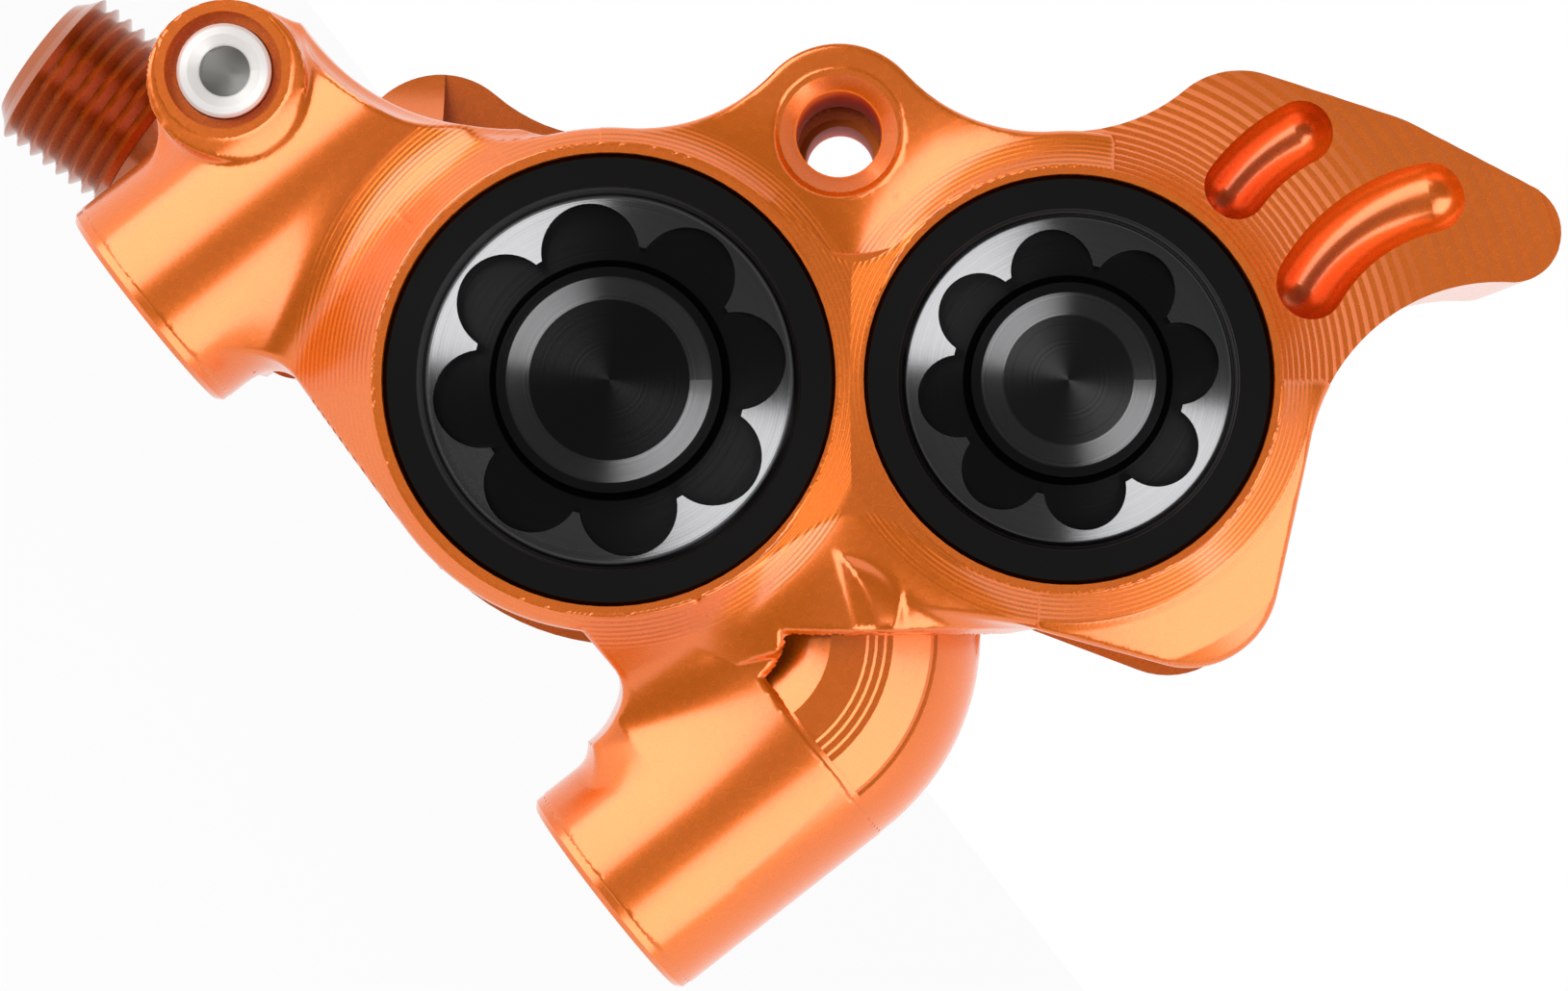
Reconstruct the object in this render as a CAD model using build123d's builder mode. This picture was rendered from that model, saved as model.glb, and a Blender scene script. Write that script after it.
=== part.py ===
from build123d import *

import math
import os

# Four-piston flat-mount disc brake caliper, cut from one billet, with its caps, pistons and pads.
#
# The two threaded mounting bosses stand on z = 0, one each side of the origin along X.
# +Z points from the frame into the caliper. +Y runs along the pistons, from the capped outboard
# side through the rotor to the closed inboard side. All lengths are millimetres.

# Mounting interface
mount_spacing = 34.0
mount_thread_radius = 2.1
mount_thread_depth = 9.0
boss_radius = 5.4
boss_end_break = 0.25
left_boss_height = 12.4
left_crest_height = 18.0

# Bores: the line through both leans this many degrees from the mounting line
bore_line_tilt = 51.87
bore_mid_x = 5.15
bore_mid_z = 22.8
bore_spacing = 20.5
large_piston_radius = 8.0
small_piston_radius = 7.0
bore_clearance = 0.04

# Stations along Y, measured from the bosses' axis
rotor_plane = 11.0
cavity_width = 10.6
outboard_depth = 13.0
inboard_depth = 11.5
bore_floor_wall = 1.9

# Rotor that the caliper straddles
rotor_radius = 70.0
rotor_thickness = 1.8
rotor_centre_drop = 62.5
rotor_rim_clearance = 1.5
rotor_side_clearance = 1.3
cavity_end_margin = 0.7

# Cap seats and the rims round them
large_cap_radius = 10.1
small_cap_radius = 9.13
cap_clearance = 0.02
cap_depth = 3.3
cap_recess = 0.7
large_rim_width = 0.42
small_rim_width = 0.36
web_fillet = 4.0

# Outboard outline
large_skirt_radius = 11.25
small_skirt_radius = 11.1
outline_fillet = 8.3
crest_fillet = 12.0
foot_fillet = 1.6
foot_rise = 0.25
shoulder_face = -1.2

# Terraces turned round each bore
terrace_step = 0.22
terrace_lean_share = 0.5
terrace_first_tread = 0.24
terrace_last_tread = 0.7
terrace_tread_growth = 1.06
flank_tread = 0.21
flank_reach = 2.8
web_scoop_reach = 1.6

# Ear that the pad pin passes through
pin_ear_height = 11.05
pin_ear_radius = 4.0
pin_ear_face = -5.6
pin_bore_radius = 1.93
pin_sink_radius = 2.65
pin_sink_depth = 0.6
pin_thread_radius = 1.65
pin_boss_rear = 24.3

# Fin beside the small bore
fin_crown_radius = 4.0
fin_crown_reach = 7.85
fin_crown_height = 10.0
fin_middle_radius = 3.7
fin_middle_reach = 13.9
fin_middle_height = 8.4
fin_tip_radius = 2.3
fin_tip_reach = 20.2
fin_tip_height = 6.8
fin_finger_radius = 9.1
fin_rear = 22.0

# Ball-ended pockets in the fin
inner_pocket_width = 2.9
inner_pocket_start = (7.5, 8.6)
inner_pocket_middle = (8.85, 10.05)
inner_pocket_end = (10.55, 11.2)
outer_pocket_width = 3.2
outer_pocket_start = (10.85, 4.3)
outer_pocket_middle = (13.1, 6.8)
outer_pocket_end = (16.55, 8.35)
pocket_floor = -1.4

# Pad abutment lobes under the small bore
lobe_radius = 3.95
lobe_reach = 5.45
lobe_drop = 8.9
rear_lobe_drop = 9.7
lobe_face = -2.6

# Elbow that carries the right boss up between the bores
elbow_bend_radius = 5.8
elbow_height = 12.0
elbow_run = 7.0
elbow_first_level_share = 0.966
elbow_last_level_share = 0.775
elbow_profile_shares = (
    (0.037, 0.966),
    (0.06, 0.955),
    (0.11, 0.955),
    (0.133, 0.944),
    (0.185, 0.944),
    (0.208, 0.933),
    (0.26, 0.933),
    (0.3, 0.915),
    (0.574, 0.8),
    (0.6, 0.775),
)
elbow_web_base = 6.9
elbow_web_fillet = 2.6

# Inboard half
inboard_large_radius = 12.2
inboard_small_radius = 11.4
rear_edge_break = 1.4

# Bridge behind the left boss, and the hump on it
bridge_left = -22.3
bridge_right = -10.0
bridge_base = 2.6
bridge_top = 13.4
bridge_corner = 2.0
bridge_front = 2.0
bridge_rear = 24.5
hump_reach = 8.9
hump_height = 11.2
hump_radius = 4.0
hump_front = 11.5
scoop_radius = 7.5
scoop_height = 18.7
scoop_station = 9.6

# Bleed port ear
bleed_x = -22.9
bleed_z = 9.67
bleed_ear_x = -22.5
bleed_ear_z = 9.52
bleed_ear_radius = 3.54
bleed_ear_front = -5.0
bleed_ear_rear = 5.8
bleed_sink_radius = 2.65
bleed_sink_depth = 1.1

# Bleed screw
bleed_screw_radius = 2.13
bleed_screw_front = -4.7
bleed_screw_length = 7.6
bleed_screw_clearance = 0.05
bleed_tip_radius = 1.3
bleed_tip_length = 1.2
bleed_recess_radius = 1.65
bleed_recess_depth = 0.5
bleed_hex_across = 2.5
bleed_hex_depth = 2.4
bleed_chamber_radius = 1.5
bleed_end_wall = 0.8
bleed_seal_section = 0.55
bleed_groove_setback = 4.2
bleed_edge_break = 0.15
bleed_hex_turn = 18.0

# Hose port and its threaded stub
hose_axis_station = 10.0
hose_tilt = 15.5
hose_seat_x = -22.6
hose_seat_z = 4.95
hose_boss_radius = 4.3
hose_boss_depth = 4.0
hose_port_radius = 2.6
hose_port_depth = 4.6
hose_thread_pitch = 0.75
hose_thread_radius = 4.0
hose_thread_depth = 0.5
hose_thread_crests = 8
hose_end_radius = 3.05
hose_end_chamfer = 0.5
hose_neck_radius = 3.55
hose_neck_length = 1.55
hose_bore_radius = 2.5
hose_bore_depth = 6.4
hose_oil_radius = 0.9
hose_tip_gap = 0.3
hose_seal_section = 0.8

# Drilled fluid passages
gallery_x = -16.1
gallery_z = 11.0
gallery_radius = 0.9
feed_radius = 0.6
gallery_plug_radius = 1.4
gallery_plug_length = 2.4

# Piston seals
seal_width = 2.2
seal_height = 1.5
seal_setback = 1.6
seal_grip = 0.02

# Pistons
piston_length = 8.5
piston_wall = 1.5
piston_floor = 2.2
piston_edge_break = 0.4

# Pads
pad_plate_thickness = 1.8
pad_lining_thickness = 2.0
pad_running_gap = 0.35
pad_end_clearance = 0.3
pad_height = 15.4
pad_drop = 7.6
pad_corner = 2.0
pad_neck_width = 7.0
pad_eye_radius = 3.4
pad_eye_play = 0.6
lining_margin = 1.1
lining_slot_width = 1.2
lining_slot_depth = 1.1

# Cap faces
cap_flange_width = 1.5
cap_dish_depth = 0.35
cap_star_depth = 1.3
cap_lobe_count = 8
large_lobe_radius = 2.2
small_lobe_radius = 1.85
large_star_radius = 6.1
large_lobe_reach = 7.95
large_boss_radius = 5.05
small_star_radius = 5.22
small_lobe_reach = 6.77
small_boss_radius = 4.35
cap_lobe_turn = 8.5
cap_band_width = 1.0
cap_band_depth = 0.35
cap_crown_width = 0.45
cap_edge_break = 0.18
cap_seal_section = 0.7

# Overrun of cuts past a face
overrun = 2.0

# Places worked out from the sizes above
half_turn = 180
tilt = math.radians(bore_line_tilt)
along = Vector(math.cos(tilt), 0, math.sin(tilt))
across = Vector(-math.sin(tilt), 0, math.cos(tilt))
cavity_front = rotor_plane - cavity_width / 2
cavity_rear = rotor_plane + cavity_width / 2
front_face = cavity_front - outboard_depth
rear_face = cavity_rear + inboard_depth
bore_floor = rear_face - bore_floor_wall
cap_face = front_face + cap_recess
cap_rear = cap_face + cap_depth
large_u = -bore_spacing / 2
small_u = bore_spacing / 2
large_rim_radius = large_cap_radius + large_rim_width
small_rim_radius = small_cap_radius + small_rim_width
cavity_left = large_u - large_piston_radius - cavity_end_margin
cavity_right = small_u + small_piston_radius + cavity_end_margin
mount_left_x = -mount_spacing / 2
mount_right_x = mount_spacing / 2
pad_back = rotor_plane - rotor_thickness / 2 - pad_running_gap - pad_lining_thickness - pad_plate_thickness
lining_back = pad_back + pad_plate_thickness
rotor_v = -rotor_centre_drop
rotor_centre = (0, rotor_v)
slot_width = rotor_thickness + 2 * rotor_side_clearance
outboard_groove_rear = cavity_front - seal_setback
inboard_groove_rear = cavity_rear + seal_setback + seal_width
bleed_bore_radius = bleed_screw_radius + bleed_screw_clearance
bleed_cone_station = bleed_screw_front + bleed_screw_length - bleed_tip_length
bleed_cone_slope = bleed_tip_length / (bleed_screw_radius - bleed_tip_radius)
bleed_seat_station = bleed_cone_station + bleed_cone_slope * (bleed_screw_radius - bleed_chamber_radius)
bleed_chamber_rear = bleed_ear_rear - bleed_end_wall
outboard_feed = cap_rear + feed_radius
inboard_feed = bore_floor - feed_radius
gallery_front = Vector(gallery_x, outboard_feed, gallery_z)
gallery_back = Vector(gallery_x, bridge_rear, gallery_z)
gallery_turn = Vector(gallery_x, bridge_rear - gallery_plug_length - gallery_radius, gallery_z)
hose_lean = math.radians(hose_tilt)
hose_way = Vector(-math.cos(hose_lean), 0, -math.sin(hose_lean))
hose_seat = Plane(
    origin=(hose_seat_x, hose_axis_station, hose_seat_z),
    x_dir=(0, 1, 0),
    z_dir=(-math.cos(hose_lean), 0, -math.sin(hose_lean)),
)
hose_port_end = hose_seat.origin - hose_way * hose_port_depth
gallery_joint = Vector(gallery_x, hose_axis_station, gallery_z)
bleed_joint = Vector(bleed_x, bleed_chamber_rear - feed_radius, bleed_z)


def at_station(station):
    """Plane across the bores at one station along Y, facing outboard, x along the bores' line."""
    return Plane(origin=(bore_mid_x, station, bore_mid_z), x_dir=along, z_dir=(0, -1, 0))


def row_plane(station):
    """Plane at one station along Y, facing outboard, with x and y along the row's X and Z."""
    return Plane(origin=(0, station, 0), x_dir=(1, 0, 0), z_dir=(0, -1, 0))


def place(u, v, station):
    """The point at u along the bores' line and v across it, at one station along Y."""
    return Vector(bore_mid_x, station, bore_mid_z) + along * u + across * v


def on_bore_line(x, z):
    """Where a point of the row frame lies along and across the bores' line."""
    offset = Vector(x - bore_mid_x, 0, z - bore_mid_z)
    return (offset.dot(along), offset.dot(across))


def turned(centre, outline):
    """A solid of revolution about a line along Y through centre, from (radius, station) points."""
    section = Plane(origin=place(centre[0], centre[1], 0), x_dir=along, z_dir=across)
    with BuildPart() as piece:
        with BuildSketch(section):
            with BuildLine():
                Polyline(*outline, close=True)
            make_face()
        revolve(axis=Axis(section.origin, (0, 1, 0)))
    return piece.part


def prism(outline, first, last):
    """A flat outline in bore-line coordinates, as a solid from one station along Y to another."""
    with BuildPart() as piece:
        with BuildSketch(at_station(last)):
            add(outline)
        extrude(amount=last - first)
    return piece.part


def disc(centre, radius):
    """A filled circle."""
    with BuildSketch() as face:
        with Locations(centre):
            Circle(radius)
    return face.sketch


def area(*points):
    """A filled polygon."""
    with BuildSketch() as face:
        with BuildLine():
            Polyline(*points, close=True)
        make_face()
    return face.sketch


def stretched(*circles):
    """The outline a band takes when pulled round several circles."""
    with BuildSketch() as face:
        for centre, radius in circles:
            with Locations(centre):
                Circle(radius)
        make_hull()
    return face.sketch


def blend_centre(first, second, radius, side=1):
    """Centre of the arc that touches two circles from outside, on the left of the way between them."""
    start, start_radius = Vector(*first[0]), first[1]
    end, end_radius = Vector(*second[0]), second[1]
    way = end - start
    reach = start_radius + radius
    forward = (reach ** 2 - (end_radius + radius) ** 2 + way.length ** 2) / (2 * way.length)
    rise = math.sqrt(reach ** 2 - forward ** 2)
    step = way.normalized()
    centre = start + step * forward + Vector(-step.Y, step.X) * (rise * side)
    return (centre.X, centre.Y)


def blend(first, second, radius, side=1):
    """The fillet that fills the hollow between two circles, bounded by the arc that touches both."""
    centre = blend_centre(first, second, radius, side)
    with BuildSketch() as face:
        with BuildLine():
            Polyline(first[0], second[0], centre, close=True)
        make_face()
        with Locations(centre):
            Circle(radius, mode=Mode.SUBTRACT)
    return face.sketch


def drilling(start, end, radius):
    """A drilled hole from one point to another."""
    line = end - start
    with BuildPart() as hole:
        with BuildSketch(Plane(origin=start, z_dir=line.normalized())):
            Circle(radius)
        extrude(amount=line.length)
    return hole.part


def terraces(rim_radius, reach, tread, growth, widest):
    """Corner points of the steps cut round a rim, each riser leaning outwards as it goes down."""
    corners = [(rim_radius, front_face)]
    radius = rim_radius
    station = front_face
    while radius < rim_radius + reach:
        station = station + terrace_step
        corners.append((radius + tread * terrace_lean_share, station))
        radius = radius + tread
        corners.append((radius, station))
        tread = min(tread * growth, widest)
    return corners


# Outline circles in bore-line coordinates
large_centre = (large_u, 0)
small_centre = (small_u, 0)
pin_centre = (0, pin_ear_height)
bleed_centre = on_bore_line(bleed_x, bleed_z)
ear_centre = on_bore_line(bleed_ear_x, bleed_ear_z)
crown_centre = (small_u + fin_crown_reach, fin_crown_height)
middle_centre = (small_u + fin_middle_reach, fin_middle_height)
tip_centre = (small_u + fin_tip_reach, fin_tip_height)
lobe_centre = (small_u + lobe_reach, -lobe_drop)
rear_lobe_centre = (small_u + lobe_reach, -rear_lobe_drop)
hump_centre = (large_u - hump_reach, hump_height)
large_skirt = (large_centre, large_skirt_radius)
small_skirt = (small_centre, small_skirt_radius)
pin_ear = (pin_centre, pin_ear_radius)
crown = (crown_centre, fin_crown_radius)
middle = (middle_centre, fin_middle_radius)
tip = (tip_centre, fin_tip_radius)
lobe = (lobe_centre, lobe_radius)
feed_way = (place(large_u, 0, 0) - Vector(gallery_x, 0, gallery_z)).normalized()
inboard_feed_end = place(large_u, 0, inboard_feed) - feed_way * (large_piston_radius - feed_radius)
cavity_top = pin_ear_height + pin_ear_radius + overrun
bores = (
    (large_centre, large_piston_radius, large_cap_radius),
    (small_centre, small_piston_radius, small_cap_radius),
)

# Fin outline, shared by both halves
with BuildSketch() as fin_outline:
    add(stretched(crown, middle, tip))
    add(blend(tip, small_skirt, fin_finger_radius))
    add(blend(small_skirt, crown, outline_fillet))
    add(area(small_centre, crown_centre, tip_centre))

# Rims round the bores, and the centres of the hollows above and below the web between them
large_rim = (large_centre, large_rim_radius)
small_rim = (small_centre, small_rim_radius)
web_centres = (
    blend_centre(large_rim, small_rim, web_fillet),
    blend_centre(small_rim, large_rim, web_fillet),
)

# Outboard outline
skirt_foot_z = bore_mid_z + (along * large_u).Z - large_skirt_radius
bore_x = bore_mid_x + (along * large_u).X
with BuildSketch() as skirt_outline:
    add(disc(*large_skirt))
    add(disc(*small_skirt))
    add(disc(*pin_ear))
    add(blend(large_skirt, pin_ear, outline_fillet))
    add(blend(pin_ear, small_skirt, outline_fillet))
    add(area(large_centre, small_centre, pin_centre))
    add(blend(small_skirt, large_skirt, web_fillet))
    add(fin_outline.sketch)
    add(stretched(small_skirt, lobe))
with BuildSketch() as outboard_outline:
    add(skirt_outline.sketch)
    add(disc(ear_centre, bleed_ear_radius))
    add(blend((ear_centre, bleed_ear_radius), large_skirt, crest_fillet))
    add(area(
        ear_centre,
        large_centre,
        on_bore_line(bore_x, skirt_foot_z),
        on_bore_line(mount_left_x, skirt_foot_z + foot_rise),
    ))

# The foot of the web under the bend, in the row's own X and Z
with BuildSketch() as elbow_web:
    add(area(
        (bore_x, elbow_web_base),
        (mount_right_x, elbow_web_base),
        (mount_right_x, elbow_height),
        (bore_mid_x, bore_mid_z),
    ))
    with BuildSketch(mode=Mode.PRIVATE) as foot:
        with Locations((mount_right_x - boss_radius + elbow_web_fillet, elbow_web_base)):
            Rectangle(2 * elbow_web_fillet, elbow_web_fillet, align=(Align.MAX, Align.MAX))
        with Locations((
            mount_right_x - boss_radius - elbow_web_fillet,
            elbow_web_base - elbow_web_fillet,
        )):
            Circle(elbow_web_fillet, mode=Mode.SUBTRACT)
    add(foot.sketch)
with BuildSketch() as left_foot:
    with Locations((mount_left_x + boss_radius - foot_fillet, skirt_foot_z + foot_rise)):
        Rectangle(2 * foot_fillet, foot_fillet, align=(Align.MIN, Align.MAX))
    with Locations((mount_left_x + boss_radius + foot_fillet, skirt_foot_z + foot_rise - foot_fillet)):
        Circle(foot_fillet, mode=Mode.SUBTRACT)

# Inboard outline
inboard_large = (large_centre, inboard_large_radius)
inboard_small = (small_centre, inboard_small_radius)
with BuildSketch() as inboard_outline:
    add(disc(*inboard_large))
    add(disc(*inboard_small))
    add(blend(inboard_large, inboard_small, web_fillet))
    add(blend(inboard_small, inboard_large, web_fillet))

# Front of the outboard half: terraces round both bores, and the flat ears
with BuildPart() as front_relief:
    section = Plane(origin=place(large_u, 0, 0), x_dir=along, z_dir=across)
    with BuildSketch(section):
        with BuildLine():
            flank = terraces(large_rim_radius, flank_reach, flank_tread, 1, flank_tread)
            cove = shoulder_face - flank[-1][1]
            Polyline(*flank)
            CenterArc((flank[-1][0] + cove, flank[-1][1]), cove, half_turn / 2, half_turn / 2)
            Polyline(
                (flank[-1][0] + cove, shoulder_face),
                (0, shoulder_face),
                (0, front_face),
                flank[0],
            )
        make_face()
    revolve(axis=Axis(section.origin, (0, 1, 0)))
    fin_reach = fin_tip_reach + fin_tip_radius - small_rim_radius + overrun
    steps = terraces(
        small_rim_radius, fin_reach, terrace_first_tread, terrace_tread_growth, terrace_last_tread
    )
    steps = [corner for corner in steps if corner[1] < shoulder_face]
    add(turned(small_centre, steps + [(steps[-1][0], shoulder_face), (0, shoulder_face), (0, front_face)]))
    with BuildSketch(at_station(shoulder_face)):
        add(disc(*pin_ear))
        add(area(large_centre, small_centre, pin_centre))
        add(blend(large_skirt, pin_ear, outline_fillet))
        add(blend(pin_ear, small_skirt, outline_fillet))
    extrude(amount=shoulder_face - pin_ear_face)
    with BuildSketch(at_station(shoulder_face)):
        add(stretched(small_skirt, lobe))
    extrude(amount=shoulder_face - lobe_face)
    for web_centre in web_centres:
        steps = terraces(0, web_scoop_reach, flank_tread, 1, flank_tread)
        steps = [(web_fillet - radius, station) for radius, station in steps]
        scoop = turned(web_centre, steps + [
            (steps[-1][0], shoulder_face),
            (web_fillet + overrun, shoulder_face),
            (web_fillet + overrun, front_face),
        ])
        sector = prism(area(web_centre, large_centre, small_centre), front_face, shoulder_face)
        add(scoop.intersect(sector))
    add(prism(outboard_outline.sketch, front_face, shoulder_face), mode=Mode.INTERSECT)

# Pockets milled with a ball-ended cutter along arcs in the fin
pockets = []
for width, start, bend, end in (
    (inner_pocket_width, inner_pocket_start, inner_pocket_middle, inner_pocket_end),
    (outer_pocket_width, outer_pocket_start, outer_pocket_middle, outer_pocket_end),
):
    ball_station = pocket_floor - width / 2
    stops = [(small_u + u, v) for u, v in (start, bend, end)]
    with BuildPart() as pocket:
        with BuildLine(at_station(ball_station)) as way:
            ThreePointArc(*stops)
        with BuildSketch(Plane(origin=way.line @ 0, x_dir=(0, 1, 0), z_dir=way.line % 0)):
            Circle(width / 2)
        sweep()
        for stop in (stops[0], stops[2]):
            with Locations(place(stop[0], stop[1], ball_station)):
                Sphere(width / 2)
        with BuildSketch(at_station(ball_station)):
            with BuildLine():
                ThreePointArc(*stops)
            trace(line_width=width)
            with Locations(stops[0], stops[2]):
                Circle(width / 2)
        extrude(amount=ball_station - front_face + overrun)
    pockets.append(pocket.part)

# Boss bend with its milled steps
bend_axis_x = mount_right_x - elbow_bend_radius
with BuildPart() as elbow:
    with BuildSketch(Plane.XY):
        with Locations((mount_right_x, 0)):
            Circle(boss_radius)
    extrude(amount=elbow_height)
    chamfer(elbow.edges().sort_by(Axis.Z)[0], length=boss_end_break)
    with BuildSketch(Plane(origin=(bend_axis_x, 0, elbow_height), x_dir=(1, 0, 0), z_dir=(0, 0, 1))):
        with BuildLine():
            first_slant = math.asin(elbow_first_level_share)
            last_slant = math.asin(elbow_last_level_share)
            stairs = [(-math.cos(first_slant), elbow_first_level_share)]
            stairs.extend(elbow_profile_shares)
            stairs.append((math.cos(last_slant), elbow_last_level_share))
            Polyline(*[
                (elbow_bend_radius + reach * boss_radius, -level * boss_radius)
                for reach, level in stairs
            ])
            first_angle = math.degrees(first_slant)
            last_angle = math.degrees(last_slant)
            arc_size = half_turn + first_angle + last_angle
            CenterArc((elbow_bend_radius, 0), boss_radius, -last_angle, arc_size)
        make_face()
    revolve(axis=Axis((bend_axis_x, 0, elbow_height), (0, -1, 0)), revolution_arc=bore_line_tilt)
    bend_end = Vector(bend_axis_x, 0, elbow_height) + along * elbow_bend_radius
    with BuildSketch(Plane(origin=bend_end, z_dir=across)):
        Circle(boss_radius)
    extrude(amount=elbow_run)

with BuildPart() as left_boss:
    with BuildSketch(Plane.XY):
        with Locations((mount_left_x, 0)):
            Circle(boss_radius)
    extrude(amount=left_boss_height)
    chamfer(left_boss.edges().sort_by(Axis.Z)[0], length=boss_end_break)

# The same boss, carried up to the crest of the outline
with BuildPart() as left_crest:
    with BuildSketch(Plane.XY):
        with Locations((mount_left_x, 0)):
            Circle(boss_radius)
    extrude(amount=left_crest_height)
    add(prism(outboard_outline.sketch, front_face, bleed_ear_rear), mode=Mode.INTERSECT)

with BuildPart() as bleed_ear:
    with BuildSketch(at_station(bleed_ear_rear)):
        with Locations(ear_centre):
            Circle(bleed_ear_radius)
    extrude(amount=bleed_ear_rear - bleed_ear_front)

with BuildPart() as inboard_half:
    with BuildSketch(at_station(rear_face)):
        add(inboard_outline.sketch)
    extrude(amount=rear_face - rotor_plane)
    fillet(inboard_half.faces().sort_by(Axis.Y)[-1].edges(), radius=rear_edge_break)
    with BuildSketch(at_station(pin_boss_rear)):
        add(disc(*pin_ear))
        add(area(large_centre, small_centre, pin_centre))
        add(blend(inboard_large, pin_ear, outline_fillet))
        add(blend(pin_ear, inboard_small, outline_fillet))
    extrude(amount=pin_boss_rear - rotor_plane)
    with BuildSketch(at_station(fin_rear)):
        add(fin_outline.sketch)
        add(stretched(small_skirt, (rear_lobe_centre, lobe_radius)))
    extrude(amount=fin_rear - rotor_plane)

with BuildPart() as bridge:
    with BuildSketch(row_plane(bridge_rear)):
        with Locations(((bridge_left + bridge_right) / 2, (bridge_base + bridge_top) / 2)):
            RectangleRounded(bridge_right - bridge_left, bridge_top - bridge_base, bridge_corner)
    extrude(amount=bridge_rear - bridge_front)
    with BuildSketch(at_station(bridge_rear)):
        with Locations(hump_centre):
            Circle(hump_radius)
        add(blend(inboard_large, (hump_centre, hump_radius), outline_fillet, -1))
        add(area(hump_centre, large_centre, on_bore_line(bridge_right, bridge_top)))
    extrude(amount=bridge_rear - hump_front)

with BuildPart() as caliper_body:
    with BuildSketch(at_station(rotor_plane)):
        add(skirt_outline.sketch)
    extrude(amount=rotor_plane - shoulder_face)
    with BuildSketch(at_station(bleed_ear_rear)):
        add(outboard_outline.sketch)
    extrude(amount=bleed_ear_rear - shoulder_face)
    with BuildSketch(row_plane(cavity_front)):
        add(elbow_web.sketch)
        add(left_foot.sketch)
    extrude(amount=cavity_front - shoulder_face)
    add(front_relief.part)
    with BuildSketch(at_station(cavity_front)):
        add(disc(*large_rim))
        add(disc(*small_rim))
        add(blend(large_rim, small_rim, web_fillet))
        add(blend(small_rim, large_rim, web_fillet))
    extrude(amount=outboard_depth)
    add(elbow.part)
    add(left_boss.part)
    add(left_crest.part)
    add(bleed_ear.part)
    add(inboard_half.part)
    add(bridge.part)
    with BuildSketch(hose_seat):
        Circle(hose_boss_radius)
    extrude(amount=-hose_boss_depth)
    with BuildSketch(hose_seat):
        Circle(hose_boss_radius)
    extrude(amount=hose_neck_length, mode=Mode.SUBTRACT)

    # Rotor slot and the pad cavity between the halves
    with BuildSketch(at_station(rotor_plane + slot_width / 2)):
        with Locations(rotor_centre):
            Circle(rotor_radius + rotor_rim_clearance)
    extrude(amount=slot_width, mode=Mode.SUBTRACT)
    with BuildSketch(at_station(cavity_rear)):
        with BuildLine():
            Polyline(
                (cavity_left, rotor_v),
                (cavity_right, rotor_v),
                (cavity_right, cavity_top),
                (cavity_left, cavity_top),
                close=True,
            )
        make_face()
    extrude(amount=cavity_width, mode=Mode.SUBTRACT)

    # Scoop between the crest and the hump
    scoop_start = place(hump_centre[0] - hump_radius, scoop_height, scoop_station)
    with Locations(scoop_start):
        Sphere(scoop_radius, mode=Mode.SUBTRACT)
    scoop_end = place(cavity_left + overrun, scoop_height, scoop_station)
    add(drilling(scoop_start, scoop_end, scoop_radius), mode=Mode.SUBTRACT)

    # Bores, cap seats and seal grooves
    for centre, piston_radius, cap_radius in bores:
        bore_radius = piston_radius + bore_clearance
        groove_radius = bore_radius + seal_height
        with BuildSketch(at_station(bore_floor)):
            with Locations(centre):
                Circle(bore_radius)
        extrude(amount=bore_floor - cap_rear + overrun, mode=Mode.SUBTRACT)
        with BuildSketch(at_station(cap_rear)):
            with Locations(centre):
                Circle(cap_radius + cap_clearance)
        extrude(amount=cap_rear - front_face + overrun, mode=Mode.SUBTRACT)
        for groove_rear in (outboard_groove_rear, inboard_groove_rear):
            with BuildSketch(at_station(groove_rear)):
                with Locations(centre):
                    Circle(groove_radius)
            extrude(amount=seal_width, mode=Mode.SUBTRACT)

    # Pad pin bore, sunk in front and tapped behind
    with BuildSketch(at_station(cavity_front)):
        with Locations(pin_centre):
            Circle(pin_bore_radius)
    extrude(amount=cavity_front - pin_ear_face + overrun, mode=Mode.SUBTRACT)
    add(turned(pin_centre, [
        (0, pin_ear_face - overrun),
        (pin_sink_radius, pin_ear_face - overrun),
        (pin_sink_radius, pin_ear_face),
        (pin_bore_radius, pin_ear_face + pin_sink_depth),
        (0, pin_ear_face + pin_sink_depth),
    ]), mode=Mode.SUBTRACT)
    with BuildSketch(at_station(rear_face)):
        with Locations(pin_centre):
            Circle(pin_thread_radius)
    extrude(amount=rear_face - cavity_rear + overrun, mode=Mode.SUBTRACT)

    # Threaded holes in the mounting bosses
    with BuildSketch(Plane.XY):
        with Locations((mount_left_x, 0), (mount_right_x, 0)):
            Circle(mount_thread_radius)
    extrude(amount=mount_thread_depth, mode=Mode.SUBTRACT)

    # Ball-ended pockets in the fin
    for pocket in pockets:
        add(pocket, mode=Mode.SUBTRACT)

    # Bleed port
    add(turned(bleed_centre, [
        (0, bleed_ear_front - overrun),
        (bleed_sink_radius, bleed_ear_front - overrun),
        (bleed_sink_radius, bleed_ear_front + bleed_sink_depth),
        (bleed_bore_radius, bleed_ear_front + bleed_sink_depth),
        (bleed_bore_radius, bleed_seat_station),
        (bleed_chamber_radius, bleed_seat_station),
        (bleed_chamber_radius, bleed_chamber_rear),
        (0, bleed_chamber_rear),
    ]), mode=Mode.SUBTRACT)

    # Hose port with the seat of its seal
    with BuildSketch(hose_seat):
        Circle(hose_port_radius)
    extrude(amount=-hose_port_depth, mode=Mode.SUBTRACT)
    with BuildSketch(hose_seat):
        Circle(hose_port_radius + hose_seal_section)
    extrude(amount=-hose_seal_section, mode=Mode.SUBTRACT)

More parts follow.
